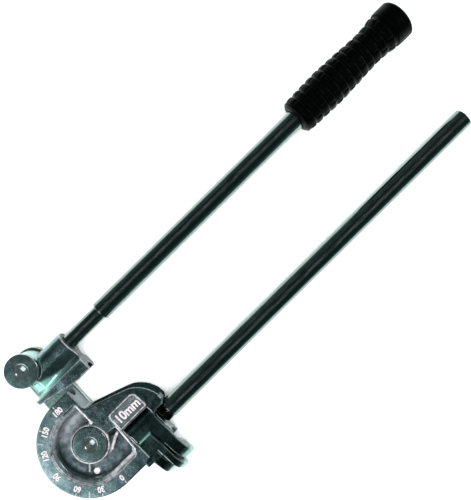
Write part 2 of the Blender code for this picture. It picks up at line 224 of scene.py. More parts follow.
def turned(name, profile, at, axis, n=96, sharp=35):
    """A solid of revolution from a closed loop of (radius, height) pairs in millimetres."""
    bm = bmesh.new()
    move = Matrix.Translation(Vector(at)) @ (
        Vector((0, 0, 1)).rotation_difference(Vector(axis)).to_matrix().to_4x4())
    rings = []
    for r, h in held(profile):
        if r < 1e-6:
            rings.append([bm.verts.new(move @ Vector((0, 0, h)))])
        else:
            rings.append([bm.verts.new(move @ Vector((r * math.cos(2 * math.pi * i / n),
                                                      r * math.sin(2 * math.pi * i / n), h)))
                          for i in range(n)])
    for a, b in zip(rings, rings[1:] + rings[:1]):
        if len(a) == 1 and len(b) == 1:
            continue
        for i in range(n):
            j = (i + 1) % n
            if len(a) == 1:
                bm.faces.new((a[0], b[i], b[j]))
            elif len(b) == 1:
                bm.faces.new((a[i], a[j], b[0]))
            else:
                bm.faces.new((a[i], a[j], b[j], b[i]))
    bmesh.ops.recalc_face_normals(bm, faces=bm.faces)
    bmesh.ops.scale(bm, verts=bm.verts, vec=(MM, MM, MM))
    mesh = bpy.data.meshes.new(name)
    wear = corner_wear(bm)
    bm.to_mesh(mesh)
    bm.free()
    store(mesh, "wear", wear)
    mesh.shade_smooth()
    mesh.set_sharp_from_angle(angle=math.radians(sharp))
    return link(name, mesh)


def fillet(r0, h0, r1, h1, n=4):
    """A quarter round from (r0, h0) to (r1, h1) that leaves r0, h0 along the height."""
    out = []
    for i in range(n + 1):
        a = math.pi / 2 * i / n
        out.append((r0 + (r1 - r0) * (1 - math.cos(a)), h0 + (h1 - h0) * math.sin(a)))
    return out


def bar(r, h0, h1, ease, bore=0.0):
    """Profile of a round bar with rolled edges, or of a ring or tube with a bore."""
    out = fillet(r, h0 + ease, r - ease, h0)[::-1] + fillet(r, h1 - ease, r - ease, h1)
    if bore:
        e = min(ease, 0.3)
        return [(bore, h1 - e), (bore, h0 + e), (bore + e, h0)] + out + [(bore + e, h1)]
    return [(0, h0)] + out + [(0, h1)]


# ------------------------------------------------------------------ materials
class Nodes:
    """Small helper to wire a material's nodes."""

    def __init__(self, name):
        self.mat = bpy.data.materials.new(name)
        self.mat.use_nodes = True
        self.tree = self.mat.node_tree
        self.shader = self.tree.nodes["Principled BSDF"]
        self.coords = self.tree.nodes.new("ShaderNodeTexCoord").outputs["Object"]

    def add(self, kind, inputs=None, **props):
        node = self.tree.nodes.new(kind)
        for key, value in props.items():
            setattr(node, key, value)
        for key, value in (inputs or {}).items():
            if isinstance(value, bpy.types.NodeSocket):
                self.tree.links.new(value, node.inputs[key])
            else:
                node.inputs[key].default_value = value
        return node

    def noise(self, size_mm, detail=4.0, rough=0.55, vector=None, stretch=None):
        where = vector or self.coords
        if stretch:
            where = self.add("ShaderNodeMapping", {"Vector": where, "Scale": stretch}).outputs[0]
        return self.add("ShaderNodeTexNoise", {"Vector": where, "Scale": 1 / (size_mm * MM),
                                               "Detail": detail, "Roughness": rough}).outputs[0]

    def span(self, value, low, high, out_low, out_high):
        return self.add("ShaderNodeMapRange", {0: value, 1: low, 2: high, 3: out_low,
                                               4: out_high}).outputs[0]

    def ramp(self, value, stops):
        node = self.add("ShaderNodeValToRGB", {"Fac": value})
        ramp = node.color_ramp
        while len(ramp.elements) < len(stops):
            ramp.elements.new(0.5)
        for element, (pos, rgb) in zip(ramp.elements, stops):
            element.position = pos
            element.color = (*rgb, 1.0)
        return node.outputs[0]

    def mix(self, fac, a, b, blend="MIX"):
        node = self.tree.nodes.new("ShaderNodeMix")
        node.data_type = "RGBA"
        node.blend_type = blend
        for index, value in ((0, fac), (6, a), (7, b)):
            if isinstance(value, bpy.types.NodeSocket):
                self.tree.links.new(value, node.inputs[index])
            elif index == 0:
                node.inputs[0].default_value = value
            else:
                node.inputs[index].default_value = (*value, 1.0)
        return node.outputs[2]

    def math(self, op, a, b):
        return self.add("ShaderNodeMath", {0: a, 1: b}, operation=op).outputs[0]

    def bump(self, height, strength, depth_mm, below=None):
        inputs = {"Height": height, "Strength": strength, "Distance": depth_mm * MM}
        if below is not None:
            inputs["Normal"] = below
        return self.add("ShaderNodeBump", inputs).outputs[0]

    def layer(self, name):
        return self.add("ShaderNodeAttribute", attribute_name=name).outputs["Fac"]

    def worn(self):
        return self.math("MULTIPLY", self.layer("wear"),
                         self.span(self.noise(3.0, 4.0, 0.6), 0.34, 0.56, 0.45, 1.0))

    def wire(self, **links):
        for key, value in links.items():
            socket = self.shader.inputs[key.replace("_", " ")]
            if isinstance(value, bpy.types.NodeSocket):
                self.tree.links.new(value, socket)
            else:
                socket.default_value = value
        return self.mat


def cast_material(name, dark, mid, light, rough=(0.15, 0.28), grain=1.0, wear_metal=0.35,
                  rubbed_and_highlight=(0.56, 0.52, 0.545)):
    """Tumbled die casting: cloudy colour, fine pits, soft orange peel, bright worn edges and painted
    edge highlights.

    The mesh's layers add as-cast grey and painted highlights, a pale painted highlight and painted
    shade.
    """
    m = Nodes(name)
    cloud = m.ramp(m.noise(9.0, 6.0, 0.62), [(0.30, dark), (0.52, mid), (0.74, light)])
    speck = m.span(m.noise(0.9, 4.0, 0.7), 0.56, 0.68, 0.0, 1.0)
    colour = m.mix(m.math("MULTIPLY", speck, 0.55 * grain), cloud, tuple(min(1, 1.7 * c) for c in light))
    # As-cast grey skin, and pale painted highlights where the masks put them.
    raw_and_highlight = m.layer("raw_and_highlight")
    ash = m.ramp(m.noise(4.5, 6.0, 0.66), [(0.34, (0.026, 0.042, 0.048)),
                                           (0.52, (0.10, 0.135, 0.150)), (0.70, (0.30, 0.34, 0.37))])
    colour = m.mix(raw_and_highlight, colour, ash)
    # Painted highlight: a pale mint tint where this layer is set.
    painted_sheen = m.layer("painted_sheen")
    colour = m.mix(painted_sheen, colour, (0.36, 0.72, 0.62))
    # Painted shade: near black, with no reflection, where the shade layer is set.
    lit = m.math("SUBTRACT", 1.0, m.layer("shade"))
    black = m.ramp(m.noise(2.2, 6.0, 0.68), [(0.34, (0.003, 0.008, 0.008)),
                                             (0.66, (0.016, 0.030, 0.030))])
    colour = m.mix(m.layer("shade"), colour, black)
    # The wear layer also carries painted edge highlights.
    worn = m.worn()
    colour = m.mix(worn, colour, rubbed_and_highlight)
    peel = m.noise(1.6, 3.0, 0.5)
    pits = m.noise(0.38, 4.0, 0.65)
    normal = m.bump(peel, 0.42 * grain, 0.10)
    normal = m.bump(pits, 0.28 * grain, 0.05, normal)
    roughness = m.span(m.noise(3.2, 5.0, 0.6), 0.3, 0.7, *rough)
    metallic = m.span(worn, 0.0, 1.0, 1.0, wear_metal)
    soft = m.span(m.math("MAXIMUM", raw_and_highlight, painted_sheen), 0.0, 1.0, 1.0, 0.45)
    metallic = m.math("MULTIPLY", m.math("MULTIPLY", metallic, soft), lit)
    return m.wire(Base_Color=colour, Metallic=metallic, Roughness=roughness, Normal=normal,
                  Specular_IOR_Level=m.math("MULTIPLY", lit, 0.5))


def chrome_material(name, tint, rough):
    """Chromed tube: drawn lines, small rust spots and painted reflection stripes."""
    m = Nodes(name)
    haze = m.noise(14.0, 5.0, 0.6)
    colour = m.ramp(haze, [(0.3, tuple(0.90 * c for c in tint)), (0.7, tint)])
    lines = m.noise(1.2, 5.0, 0.65, stretch=(0.03, 1.0, 1.0))
    spots = m.span(m.noise(1.1, 2.0, 0.5), 0.62, 0.72, 0.0, 1.0)
    colour = m.mix(m.math("MULTIPLY", spots, 0.35), colour, (0.42, 0.38, 0.33))
    streaks = m.span(m.noise(1.5, 5.0, 0.7, stretch=(0.16, 1.0, 1.0)), 0.36, 0.64, 0.10, 1.0)
    # Painted reflection: pale grey stripes where the stripe layer is set.
    reflection_stripe = m.math("MULTIPLY", m.layer("reflection_stripe"), streaks)
    colour = m.mix(reflection_stripe, colour, (0.30, 0.27, 0.28))
    metallic = m.span(reflection_stripe, 0.0, 1.0, 1.0, 0.84)
    normal = m.bump(lines, 0.10, 0.03)
    normal = m.bump(m.noise(5.0, 2.0, 0.5), 0.08, 0.12, normal)
    roughness = m.span(m.math("ADD", haze, m.math("MULTIPLY", spots, 0.3)), 0.3, 0.8, *rough)
    return m.wire(Base_Color=colour, Metallic=metallic, Roughness=roughness, Normal=normal)


def steel_material(name, dark, light, rough=(0.22, 0.42), grain=0.35, wear=(0.80, 0.80, 0.80),
                   metal=1.0):
    """Turned or plated steel with worn edges."""
    m = Nodes(name)
    colour = m.ramp(m.noise(4.0, 6.0, 0.65), [(0.32, dark), (0.70, light)])
    colour = m.mix(m.worn(), colour, wear)
    turning = m.noise(0.45, 4.0, 0.6)
    normal = m.bump(turning, grain, 0.04)
    roughness = m.span(m.noise(2.0, 4.0, 0.6), 0.3, 0.7, *rough)
    return m.wire(Base_Color=colour, Metallic=metal, Roughness=roughness, Normal=normal)


def rubber_material(name):
    """Black rubber or plastic with a little dust."""
    m = Nodes(name)
    colour = m.ramp(m.noise(6.0, 6.0, 0.65), [(0.30, (0.0001, 0.0002, 0.0002)),
                                              (0.72, (0.0004, 0.0006, 0.0006))])
    dust = m.span(m.noise(0.9, 5.0, 0.7), 0.58, 0.72, 0.0, 0.25)
    colour = m.mix(dust, colour, (0.0014, 0.0020, 0.0019))
    normal = m.bump(m.noise(0.35, 3.0, 0.6), 0.5, 0.03)
    normal = m.bump(m.noise(2.5, 3.0, 0.5), 0.25, 0.08, normal)
    roughness = m.span(m.noise(2.2, 4.0, 0.6), 0.3, 0.7, 0.26, 0.44)
    return m.wire(Base_Color=colour, Metallic=0.0, Roughness=roughness, Normal=normal,
                  Specular_IOR_Level=0.04)


CAST = cast_material("cast_alloy", (0.05, 0.085, 0.088), (0.14, 0.21, 0.218), (0.31, 0.39, 0.40))
HOOK = cast_material("hook_cast", (0.012, 0.024, 0.024), (0.027, 0.048, 0.046),
                     (0.075, 0.125, 0.12), rough=(0.24, 0.4), grain=0.8, wear_metal=0.5,
                     rubbed_and_highlight=(0.42, 0.50, 0.48))
# Pale worn colour of numerals and ticks; on the floor pip it is a painted glint.
DIGIT_AND_GLINT = steel_material("worn_digit_and_glint", (0.44, 0.39, 0.42), (0.66, 0.60, 0.63), (0.3, 0.45), 0.3,
                       metal=0.25)
CHROME = chrome_material("chrome_tube", (0.20, 0.26, 0.24), (0.09, 0.21))
PIN = cast_material("pin_steel", (0.07, 0.12, 0.12), (0.13, 0.20, 0.20), (0.27, 0.34, 0.34),
                    rough=(0.14, 0.26), grain=0.6, wear_metal=0.9, rubbed_and_highlight=(0.40, 0.45, 0.45))
STEEL = steel_material("link_steel", (0.12, 0.20, 0.18), (0.30, 0.43, 0.39))
DARK = steel_material("dark_steel", (0.006, 0.007, 0.007), (0.034, 0.031, 0.028), (0.16, 0.32),
                      wear=(0.42, 0.33, 0.26))
BRONZE = steel_material("bronze_bush", (0.10, 0.075, 0.04), (0.26, 0.20, 0.11), (0.3, 0.5))
RUBBER = rubber_material("grip_rubber")
PLASTIC = rubber_material("plug_plastic")


def finish(obj, mat, body, slot, *nodes):
    """Give a piece its material and the body it rides, and hide the nodes it replaces; slot is not used.
    """
    obj.data.materials.clear()
    obj.data.materials.append(mat)
    if nodes:
        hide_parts(*nodes)
    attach(obj, body)
    return obj


# ------------------------------------------------------------------ former casting
def half_round(x, y):
    """Distance from the former's axis on the bent side, and from its X line on the straight."""
    return np.where(np.asarray(x) < 0, np.hypot(x, y), np.abs(y))


DISC = polygon(arc(0, 0, BEND_R, 90, 270, 90) + [(44.9, -BEND_R), (44.9, -14.6), (13.7, 10.0),
                                                 (13.7, BEND_R)])
ARM = polygon(soften([(5, -14.4), (51.6, -14.4), (55.7, -13.4), (56.3, -7.4), (52.9, 1.2),
                      (46.6, 8.0), (37.0, 11.6), (26.0, 15.2), (8.0, 21.4), (0, 10)], 3))


def recess_outline(r, right, web):
    """Outline of the recess: half round, a straight right side and the leg's wall."""
    out = arc(0, 0, r, 90, 270, 60)
    out += [(right - 3.0, -r), (right - 1.2, -r + 0.9), (right, -r + 3.0),
            (right + 1.4, -3.6 - web), (14.4, -2.6 - web)]
    out += arc(0, 0, 11.0, -8, 42, 12)
    out += [(10.4 - web, 11.5), (10.4 - web, r)]
    return polygon(out)


LEDGE, WELL = recess_outline(LEDGE_R, 18.8, 0.0), recess_outline(WELL_R, 17.6, 0.8)
PAD = polygon([(22.6, -7.3), (45.0, -7.0), (45.4, -6.2), (44.7, 2.6), (43.6, 4.1), (41.8, 4.8),
               (24.2, 4.8), (22.7, 4.1), (22.1, 2.6), (22.2, -6.6)])
GUSSET = polygon([(-2.0, -12.2), (3.3, -13.9), (8.0, -13.3), (11.6, -11.2), (14.4, -9.4),
                  (17.4, -8.2), (21.4, -7.4), (21.4, -2.0), (6.0, -2.0)])
HOLLOW = polygon([(12.0, -3.4), (19.2, -4.2), (18.6, -5.6), (15.2, -6.8), (12.3, -6.6)])
PIP = (-12.2, -16.6)


def along_rib(x, y):
    """Distance from the axis along the floor's rib, and sideways from it."""
    return -0.766 * x - 0.643 * y, 0.643 * x - 0.766 * y


def former_shape(x, y, z):
    """Die and arm with the groove, the recess and what stands in it, pocket and label."""
    plan = smin(DISC(x, y), ARM(x, y), 3.0)
    d = smax(plan, np.abs(z - TUBE_Z) - CAST_HALF, 1.1)
    r = half_round(x, y)
    d = smax(d, GROOVE_R - np.hypot(r - BEND_R, z - TUBE_Z), 0.7)
    ledge = smax(LEDGE(x, y), LEDGE_Z - z, 1.2)
    well = smax(WELL(x, y), FLOOR_Z - z, 3.0)
    d = smax(d, -smin(ledge, well, 1.6), 0.7)
    boss = smax(np.hypot(x, y) - BOSS_R, z - BOSS_TOP, 0.7)
    boss = np.maximum(boss, ROOT_Z - z)
    d = np.maximum(smin(d, boss, 3.4), z - FACE_Z)
    u, w = along_rib(x, y)
    rib = smax(smax(np.abs(w) - 0.6, z - 20.6 + 0.42 * (u - 13), 0.8), np.abs(u - 16.4) - 5, 0.8)
    d = smin(d, np.maximum(rib, ROOT_Z - z), 1.2)
    web = GUSSET(x, y)
    gusset = smin(smax(web, z - 19.6, 1.0), np.hypot(web + 0.9, z - 20.2) - 1.2, 0.5)
    gusset = smax(gusset, -HOLLOW(x, y), 1.2)
    d = smin(d, np.maximum(gusset, ROOT_Z - z), 1.2)
    seat = np.maximum(np.hypot(x, y) - SEAT_R, SEAT_Z - z)
    d = smax(d, -seat, 0.35)
    d = np.maximum(d, BORE_R - np.hypot(x, y))
    # pocket for the hook and its hinge
    bay = smax(smax(np.abs(x - BAY_MID) - BAY_HALF, y + 8.7, 0.5), HINGE_Z - z, 0.6)
    barrel = smax(np.hypot(y - HINGE_Y, z - HINGE_Z) - 4.1, np.abs(x - BAY_MID) - BAY_HALF, 0.4)
    end = smax(smax(44.3 - x, y + 16.4, 0.5), 20.4 - z, 0.5)
    d = smax(d, -smin(smin(bay, barrel, 0.5), end, 0.4), 0.5)
    hinge = HINGE_R + GAP - np.hypot(y - HINGE_Y, z - HINGE_Z)
    d = np.maximum(d, np.minimum(hinge, np.minimum(53.4 - x, x - 20.6)))
    d = np.maximum(d, -np.maximum(np.hypot(y - FIX_Y, z - FIX_Z) - STUD_R - GAP, 31.7 - x))
    # size label: a sunk panel inside a raised border
    pad = PAD(x, y)
    d = smax(d, -smax(pad, 24.15 - z, 0.3), 0.3)
    border = smax(np.abs(pad) - 0.45, np.maximum(z - 24.9, 23.4 - z), 0.4)
    return smin(d, border, 0.35)


def former_weight(p, wear):
    """Outer edges lightly worn; painted highlights on recess, label and boss edges, bands, bead, lip and
    rib.
    """
    x, y, z = p.T
    r, round_r = np.hypot(x, y), half_round(x, y)
    inside = np.clip((-1.2 - np.minimum(DISC(x, y), ARM(x, y))) / 1.2, 0, 1)
    right = np.clip(2.6 - 2 * np.abs(x - 20.9 - 0.07 * y), 0, 1) * (y < -3.4) * (y > -24)
    leg = np.clip(2.6 - 2 * np.abs(x - 10.9), 0, 1) * (y > 9) * (y < 25.6)
    low_side = np.clip(0.6 - (0.17 * x + 0.98 * y) / 16.0, 0, 1)
    ring = np.clip(1.8 - 1.6 * np.abs(r - 12.8), 0, 1) * low_side
    band = np.clip(4.0 - 1.7 * np.abs(round_r - 24.7), 0, 1) * (y < 0) * (z > 20.8)
    band *= np.clip((x + 12.0) / 12.0, 0, 1) * (LEDGE(x, y) < 0.6)
    rubbed_and_highlight = (np.maximum(right, leg) + 1.1 * ring) * np.clip((z - 22.4) / 1.0, 0, 1)
    bead = np.clip(1.5 - np.abs(GUSSET(x, y) + 0.9), 0, 1) * (z > 19.6) * (z < 21.6)
    border = 0.5 * np.clip(1.5 - 1.5 * np.abs(PAD(x, y)), 0, 1) * (z > 24.4)
    border += 0.28 * (PAD(x, y) < -0.6) * (z > 23.9)
    top = 0.3 * np.clip((y - 10.0) / 8.0, 0, 1) * (LEDGE(x, y) < -1.0) * (z < 22.0)
    lip = 0.75 * np.clip(1.5 - 2.0 * np.abs(round_r - 26.3), 0, 1) * (z > 22.4) * (x < 0)
    rib = 0.7 * (np.abs(along_rib(x, y)[1]) < 1.1) * (x < -8.0) * (y < 0) * (z > 15.0) * (r < 22.0)
    marks = rubbed_and_highlight + 0.7 * bead + 0.6 * band + border + top + lip + rib
    return wear * (0.22 + 0.45 * inside) + marks * inside


def former_raw(p):
    """Grey as-cast skin on the recess floor, and pale painted highlights on its upper end, the shelf and
    the gusset.
    """
    x, y, z = p.T
    low = 0.8 * np.clip((17.5 - z) / 3.0, 0, 1) * np.clip(-LEDGE(x, y), 0, 1)
    shelf = np.clip(1.3 - np.abs(half_round(x, y) - 24.3), 0, 1) * np.clip(z - 21.4, 0, 1) * (x < 19)
    shelf *= np.where(y < 0, np.clip(0.5 + 0.03 * x, 0.1, 0.9), 0.3)
    end = np.clip((y - 14.0) / 6.0, 0, 1) * np.clip((z - 17.0) / 3, 0, 1) * (LEDGE(x, y) < -0.6)
    web = 0.7 * (GUSSET(x, y) < 0.4) * (z > 17.0) * (z < 22.0)
    return low + shelf + 0.8 * end + web


def former_shade(p):
    """Painted shade on the recess wall, the arm's flank, the leg and part of the floor."""
    x, y, z = p.T
    r, round_r = np.hypot(x, y), half_round(x, y)
    taper = np.sqrt(np.clip((-x - 3.0) / 16.0, 0, 1)) * (x < 0)
    crescent = np.clip(1.6 - np.abs(z - 17.0) / 2.6, 0, 1) * np.clip(round_r - 20.4, 0, 1)
    crescent *= 0.95 * taper * (round_r < 24.5) * (z < 22.4)
    flank = np.clip((x - 14.0) / 3.0, 0, 1) * np.clip((y + 20.0) / 12.0, 0, 1) * (y > -14.0)
    floor = 0.5 * np.clip((x - 2.0) / 6.0, 0, 1) * (y < -6) * (z < 16.0)
    leg = 0.45 * ((y > 28.0) | ((x > 12.8) & (y > 9.0) & (x < 14.0))) * (z < 24.0)
    return crescent + floor + leg + flank * (z < 23.8) * (r > 16)


former = skin("former_body", former_shape, (-37.2, -37.2, 5.4), (57.2, 37.2, 26.2), 0.48,
              former_weight, {"raw_and_highlight": former_raw, "shade": former_shade})
finish(former, CAST, "former", "cast_alloy", "former_casting")


def raised_text(name, words, size, at, turn, lift=0.35, squeeze=1.0):
    """Cast letters that stand up from a face."""
    curve = bpy.data.curves.new(name + "_font", "FONT")
    curve.body = words
    curve.size = size * MM
    curve.align_x, curve.align_y = "CENTER", "CENTER"
    curve.extrude = lift * MM
    curve.bevel_depth = 0.09 * MM
    curve.bevel_resolution = 1
    curve.offset = 0.13 * MM
    curve.resolution_u = 5
    temp = link(name + "_font", curve)
    mesh = bpy.data.meshes.new_from_object(temp)
    bpy.data.objects.remove(temp, do_unlink=True)
    mesh.transform(Matrix.Translation(Vector(at) * MM) @ Matrix.Rotation(turn, 4, "Z")
                   @ Matrix.Diagonal((squeeze, 1, 1, 1)))
    mesh.shade_smooth()
    mesh.set_sharp_from_angle(angle=math.radians(40))
    mesh.name = name
    return link(name, mesh)


def tick(name, angle, r0, r1, width, z0, z1):
    """A raised radial mark with sloping sides."""
    bm = bmesh.new()
    side = [(-1.0, z0), (1.0, z0), (0.55, z1), (-0.55, z1)]
    ends = [[bm.verts.new(Vector((r, s * width / 2, z))) for s, z in side]
            for r in (r0, r0 + 0.12, r1 - 0.12, r1)]
    for k in (0, 3):
        for vert in ends[k][2:]:
            vert.co.z -= 0.12
    for a, b in zip(ends, ends[1:]):
        for i in range(4):
            bm.faces.new((a[i], a[(i + 1) % 4], b[(i + 1) % 4], b[i]))
    bm.faces.new(ends[0][::-1])
    bm.faces.new(ends[-1])
    bmesh.ops.recalc_face_normals(bm, faces=bm.faces)
    bm.transform(Matrix.Scale(MM, 4) @ Matrix.Rotation(angle, 4, "Z"))
    mesh = bpy.data.meshes.new(name)
    bm.to_mesh(mesh)
    bm.free()
    return link(name, mesh)


for degrees in (0, 30, 45, 60, 90, 120, 135, 150, 180):
    angle = math.radians(-90 - degrees)
    major = degrees not in (45, 135)
    mark = tick(f"scale_tick_{degrees}", angle, 33.4 if major else 31.0, 35.2, 0.62,
                FACE_Z - 0.2, FACE_Z + 0.4)
    finish(mark, DIGIT_AND_GLINT, "former", "cast_alloy")
    if major:
        label = raised_text(f"scale_number_{degrees}", str(degrees), LABEL_SIZE,
                            (SCALE_R * math.cos(angle), SCALE_R * math.sin(angle), FACE_Z),
                            angle - math.pi / 2, squeeze=0.86)
        finish(label, DIGIT_AND_GLINT, "former", "cast_alloy")
# Painted glint: the pip's pale colour stands in for a bright glint on the floor.
floor_pip_glint = turned("floor_pip_glint", [(0, 10.0), (2.2, 10.0), (2.2, 16.1), (2.0, 16.5), (1.6, 16.8),
                                 (0.9, 17.0), (0, 17.05)], (*PIP, 0), (0, 0, 1), 40)
finish(floor_pip_glint, DIGIT_AND_GLINT, "former", "cast_alloy")
size_mark = raised_text("size_mark", "10mm", SIZE_MARK_SIZE, (33.8, -1.7, FACE_Z - 0.4), 0.0, 0.45,
                        0.89)
finish(size_mark, DIGIT_AND_GLINT, "former", "cast_alloy")


# ------------------------------------------------------------------ forming shoe
FLANGE = polygon([(-6.0, 42.3), (20.5, 36.5), (SHOE_END, 36.5), (SHOE_END, 45.4), (-6.6, 45.4)])
NECK = polygon([(-6.2, 43.0), (SHOE_END - 0.4, 43.0), (SHOE_END - 0.6, 60.0), (-4.6, 62)])


def shoe_shape(x, y, z):
    """Flange block with its half groove, sloping neck, handle socket and pin eye."""
    depth = np.abs(z - TUBE_Z)
    flange = smax(FLANGE(x, y), depth - SHOE_HALF, 0.9)
    front = TUBE_Z + 5.2 - 8.0 * np.clip((16.0 - x) / 22.0, 0, 1) ** 1.3
    neck = smax(NECK(x, y), np.maximum(z - front, TUBE_Z - 5.2 - z), 1.0)
    d = smin(flange, neck, 4.4)
    socket = smax(np.hypot(y - MOVE_Y, z - TUBE_Z) - SOCKET_R, np.abs(x - 19.8) - 15.8, 1.0)
    d = smin(d, socket, 4.2)
    far = np.hypot(x - OUTER[0], y - OUTER[1])
    eye = smax(far - 10.8, depth - SHOE_HALF, 0.8)
    d = smin(d, eye, 2.4)
    d = smax(d, depth - SOCKET_R, 0.5)
    d = smax(d, -smax(far - 12.2, 8.05 - depth, 0.5), 0.5)
    d = smax(d, smax(x - SHOE_END, -7.0 - x, 0.4), 0.6)
    d = smax(d, 36.5 - y, 0.4)
    d = np.maximum(d, BORE_R - far)
    d = smax(d, GROOVE_R - np.hypot(y - BEND_R, z - TUBE_Z), 0.6)
    bore = np.maximum(np.hypot(y - MOVE_Y, z - TUBE_Z) - ROD_R - GAP, 14.4 - x)
    return smax(d, -bore, 0.6)


def shoe_sheen(p):
    """A painted highlight strip on the concave neck, and paler painted highlight on part of the eye and
    on the socket.
    """
    x, y, z = p.T
    t = np.clip((32.0 - x) / 32.0, 0, 1.2)
    off = np.abs(y - 45.6 - 4.2 * t) - (0.6 + 3.2 * t ** 2.2)
    strip = np.clip(1 - off / 2.4, 0, 1) * np.clip(0.2 + 0.9 * t ** 2, 0, 1) * (z > 11.5)
    strip *= np.clip((x + 8.0) / 8.0, 0.25, 1)
    eye = 0.55 * (np.hypot(x - OUTER[0], y - OUTER[1]) < 11.6) * (y > OUTER[1])
    return np.maximum(np.maximum(strip, eye), 0.07 * (y > 49.0))


def shoe_shade(p):
    """Painted shade on the end face."""
    return 0.8 * (p[:, 0] > SHOE_END - 0.4)


shoe = skin("shoe_body", shoe_shape, (-9.0, 34.4, 5.0), (37.2, 81.0, 26.2), 0.4, None,
            {"painted_sheen": shoe_sheen, "shade": shoe_shade})
finish(shoe, CAST, "shoe", "cast_alloy", "shoe_casting")


# ------------------------------------------------------------------ tube hook
CLAW = polygon(soften([(-30.0, 24.3), (-38.7, 24.2), (-45.4, 22.4), (-50.6, 18.2), (-53.8, 12.6),
                       (-52.8, 9.2), (-48.6, 9.0), (-44.4, 12.4), (-41.8, 15.6), (-41.2, 18.2),
                       (-39.8, 20.2), (-37.2, 21.0), (-30.0, 21.0)], 2))
FINGERS = ((HOOK_X[0], 29.7, 0.0, 2.5), (30.4, 35.4, 4.0, 2.3), (36.2, HOOK_X[1], 0.0, 0.0))


def hook_shape(x, y, z):
    """Plate with its raised block, hinge barrel, three claws joined by a web, and stub."""
    plate = smax(smax(np.abs(x - HOOK_MID) - HOOK_HALF, np.abs(y + 23.5) - 11.5, 0.8),
                 np.abs(z - 22.65) - 1.65, 0.7)
    barrel = smax(np.hypot(y - HINGE_Y, z - HINGE_Z) - 3.75, np.abs(x - HOOK_MID) - HOOK_HALF, 0.6)
    d = smin(plate, barrel, 1.5)
    right = 34.2 + 0.09 * np.clip(-22.0 - y, 0, 14)
    block = smax(smax(22.95 - x, x - right, 0.5), smax(y + 22.0, -39.0 - y, 0.6), 0.6)
    block = smax(block, np.abs(z - 24.7) - 2.1, 0.6)
    gap = smax(np.abs(x - 30.05) - 0.35, y + 34.4, 0.3)
    d = smin(d, smax(block, -gap, 0.5), 0.3)
    for x0, x1, reach, rise in FINGERS:
        t = np.clip((-y - 38.0) / 8.0, 0, 1)
        lift = rise * np.clip((z - 15.0) / 6.0, 0, 1)
        claw = smax(CLAW(y + reach * t, z - lift), np.abs(x - (x0 + x1) / 2) - (x1 - x0) / 2, 0.8)
        d = smin(d, claw, 0.4)
    web = smax(CLAW(y - 1.6, z + 1.4), np.abs(x - HOOK_MID) - 10.2, 0.8)
    d = smin(d, smax(web, -46.5 - y, 1.2), 0.5)
    nub = smax(np.hypot(y + 36.3, z - 27.0) - 2.0, np.maximum(18.7 - x, x - 25.0), 0.8)
    d = smin(d, nub, 0.7)
    return np.maximum(d, HINGE_R + GAP - np.hypot(y - HINGE_Y, z - HINGE_Z))


def hook_weight(p, wear):
    """Light wear, and painted highlight lines beside the gaps between the claws and along the plate's
    left edge.
    """
    x, y, z = p.T
    line = np.maximum(np.clip(1.6 - 2.2 * np.abs(x - 30.5), 0, 1) * (y > -48.0),
                      0.8 * np.clip(1.6 - 2.2 * np.abs(x - 36.3), 0, 1) * (y > -51.0))
    left = 0.5 * (x < 23.7) * (y < -14) * (z > 23.4)
    return wear * 0.18 + line * (y < -34.2) * (z > 18.0) * (wear > 0.02) + left * (wear > 0.3)


def hook_sheen(p):
    """Painted highlights on the step of the plate and where the claws turn under."""
    x, y, z = p.T
    step = np.clip(1.5 - 1.3 * np.abs(y + 22.2), 0, 1) * (z > 24.3) * (x > 24.5) * (x < 34.8)
    reach = np.where(x > 35.8, -48.6, np.where(x > 30.1, -52.6, -49.0))
    tips = np.clip((reach - y) / 1.6, 0, 1)
    foot = np.clip((15.0 - z) / 3.0, 0, 1)
    return 0.6 * step + 0.44 * np.maximum(tips, foot)


hook = skin("hook_body", hook_shape, (17.6, -59.2, 7.6), (45.8, -7.8, 30.4), 0.32, hook_weight,
            {"painted_sheen": hook_sheen})
finish(hook, HOOK, "hook", "hook_cast", "tube_hook")


# ------------------------------------------------------------------ pins, washers, bushes, link
def pin(name, x, y, head_z, top_z, node):
    """A pin with a broad head, dished and polished in its centre."""
    prof = [(0, 0)] + fillet(5.0, 0.5, 4.4, 0.0)[::-1] + [(5.0, 5.1), (PIN_R, 5.2),
                                                         (PIN_R, head_z), (HEAD_R - 0.4, head_z)]
    prof += [(HEAD_R, head_z + 0.4)] + fillet(HEAD_R, top_z - 0.6, HEAD_R - 0.6, top_z)
    prof += [(DISH_R + 0.4, top_z), (DISH_R + 0.1, top_z - 0.12)]
    prof += [(DISH_R * math.cos(math.pi / 2 * i / 8), top_z - 0.12 - 2.8 * math.sin(
        math.pi / 2 * i / 8)) for i in range(1, 8)]
    prof += [(0, top_z - 2.92)]
    body = turned(name, prof, (x, y, 0), (0, 0, 1))
    wear = body.data.attributes["wear"].data
    values = np.empty(len(wear), np.float32)
    wear.foreach_get("value", values)
    dish = [math.hypot(v.co.x - x * MM, v.co.y - y * MM) < (DISH_R + 0.05) * MM
            and v.co.z > head_z / 2 * MM for v in body.data.vertices]
    wear.foreach_set("value", np.maximum(values, dish))
    finish(body, PIN, "yoke", "pin_steel", node)


